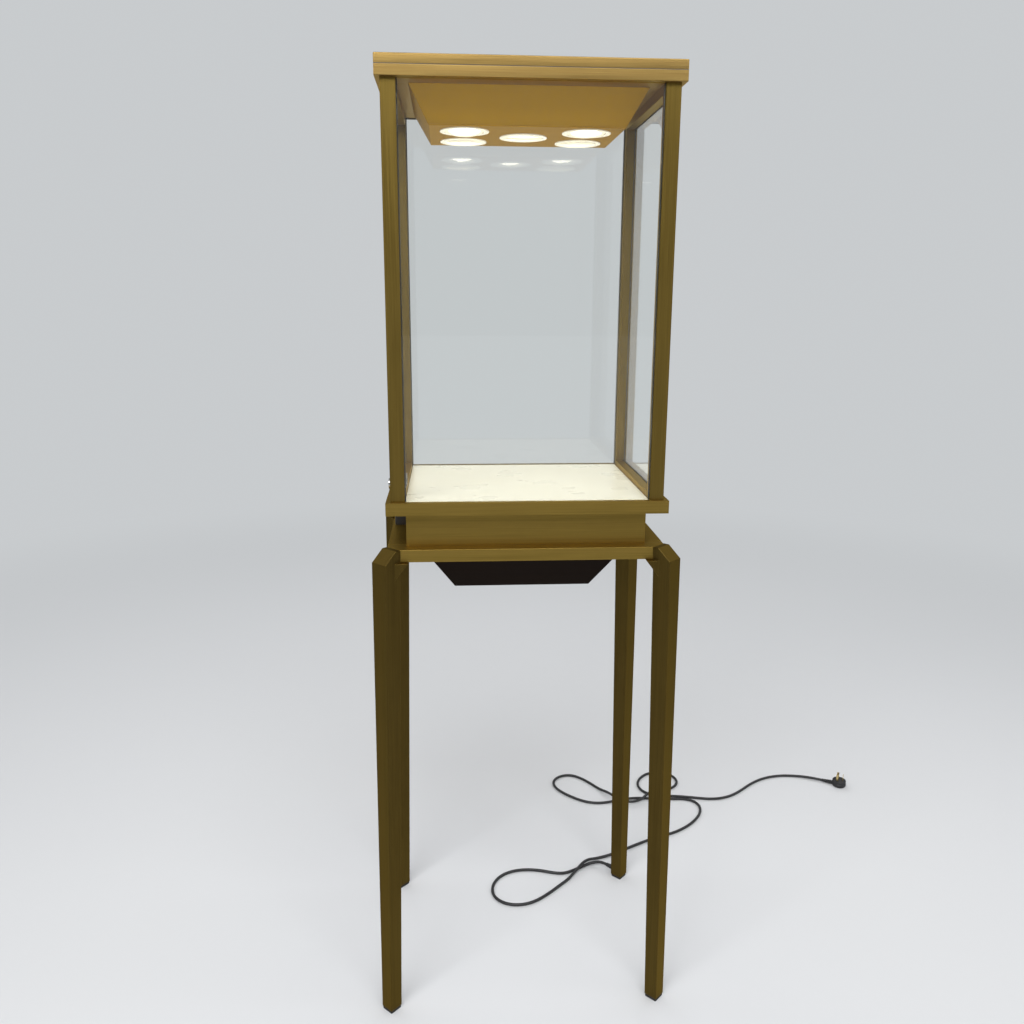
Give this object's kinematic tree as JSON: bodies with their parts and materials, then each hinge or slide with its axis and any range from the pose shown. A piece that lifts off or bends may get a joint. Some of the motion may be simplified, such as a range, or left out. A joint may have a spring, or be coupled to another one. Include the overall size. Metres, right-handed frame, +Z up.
{
  "type": "glass display showcase",
  "caption": "Rectangular glass display case on a bronze steel stand with tapered legs, a spot-lit cap, a side door with a lock and a power cord.",
  "frame": {"origin": "on the floor under the middle of the stand's four legs", "axes": "+Z up, -Y towards the front, +X to the right seen from the front; the door is on -X"},
  "size_m": [1.2785, 0.8937, 1.746],
  "materials": {
    "clad_board": "bronze metal skin on board",
    "gold": "brushed bronze",
    "lamp_white": "satin",
    "lamp_head": "satin",
    "glass": "clear",
    "deck": "gloss",
    "bare_steel": "polished",
    "black_box": "black laminate",
    "dark_steel": "satin",
    "driver": "matte",
    "rubber": "matte",
    "cord": "satin",
    "blades": "polished"
  },
  "bodies": {
    "showcase": {"top_lid": "clad_board", "cap_front_rail": "clad_board", "cap_back_rail": "clad_board", "cap_left_rail": "clad_board", "cap_right_rail": "clad_board", "plinth_front_board": "clad_board", "plinth_left_board": "clad_board", "plinth_right_board": "clad_board", "platform": "clad_board", "hood_front_panel": "gold", "hood_back_panel": "gold", "hood_left_panel": "gold", "hood_right_panel": "gold", "hood_plate": "gold", "post_front_left": "gold", "post_front_right": "gold", "post_back_left": "gold", "post_back_right": "gold", "right_top_rail": "gold", "right_bottom_rail": "gold", "stand_front_rail": "gold", "stand_back_rail": "gold", "stand_left_rail": "gold", "stand_right_rail": "gold", "leg_front_left": "gold", "leg_front_right": "gold", "leg_back_left": "gold", "leg_back_right": "gold", "lamp_rim_right_back": "lamp_white", "lamp_rim_right_front": "lamp_white", "lamp_rim_left_back": "lamp_white", "lamp_rim_left_front": "lamp_white", "lamp_rim_middle": "lamp_white", "front_glass": "glass", "back_glass": "glass", "right_glass": "glass", "display_deck": "deck", "door_pivot_bottom": "bare_steel", "door_pivot_top": "bare_steel", "post_screws": "bare_steel", "rear_box": "black_box", "driver_housing": "dark_steel", "cross_bar_left": "dark_steel", "cross_bar_right": "dark_steel", "led_driver": "driver", "leg_glides": "rubber", "cord_grommet": "rubber", "power_cord": "cord", "plug_body": "cord", "plug_blades": "blades"},
    "door": {"door_glass": "glass", "door_top_rail": "gold", "door_bottom_rail": "gold", "lock_barrel": "bare_steel"},
    "lock_key": {"lock_cam": "bare_steel"},
    "lamp_right_back": {"lamp_head_right_back": "lamp_head"},
    "lamp_right_front": {"lamp_head_right_front": "lamp_head"},
    "lamp_left_back": {"lamp_head_left_back": "lamp_head"},
    "lamp_left_front": {"lamp_head_left_front": "lamp_head"},
    "lamp_middle": {"lamp_head_middle": "lamp_head"}
  },
  "joints": [
    {"name": "door_hinge", "type": "hinge", "parent": "showcase", "child": "door", "pos_m": [-0.2365, 0.1465, 1.37], "axis": [0, 0, -1], "range_deg": [0, 100]},
    {"name": "lock_turn", "type": "hinge", "parent": "door", "child": "lock_key", "pos_m": [-0.2365, -0.143, 1.052], "axis": [1, 0, 0], "range_deg": [0, 90]},
    {"name": "lamp_tilt_right_back", "type": "hinge", "parent": "showcase", "child": "lamp_right_back", "pos_m": [0.106, 0.056, 1.66], "axis": [1, 0, 0], "range_deg": [-28, 12]},
    {"name": "lamp_tilt_right_front", "type": "hinge", "parent": "showcase", "child": "lamp_right_front", "pos_m": [0.106, -0.056, 1.66], "axis": [1, 0, 0], "range_deg": [-13, 27]},
    {"name": "lamp_tilt_left_back", "type": "hinge", "parent": "showcase", "child": "lamp_left_back", "pos_m": [-0.106, 0.056, 1.66], "axis": [1, 0, 0], "range_deg": [-30, 10]},
    {"name": "lamp_tilt_left_front", "type": "hinge", "parent": "showcase", "child": "lamp_left_front", "pos_m": [-0.106, -0.056, 1.66], "axis": [1, 0, 0], "range_deg": [-11, 29]},
    {"name": "lamp_tilt_middle", "type": "hinge", "parent": "showcase", "child": "lamp_middle", "pos_m": [0, 0, 1.66], "axis": [1, 0, 0], "range_deg": [-25, 15]}
  ]
}
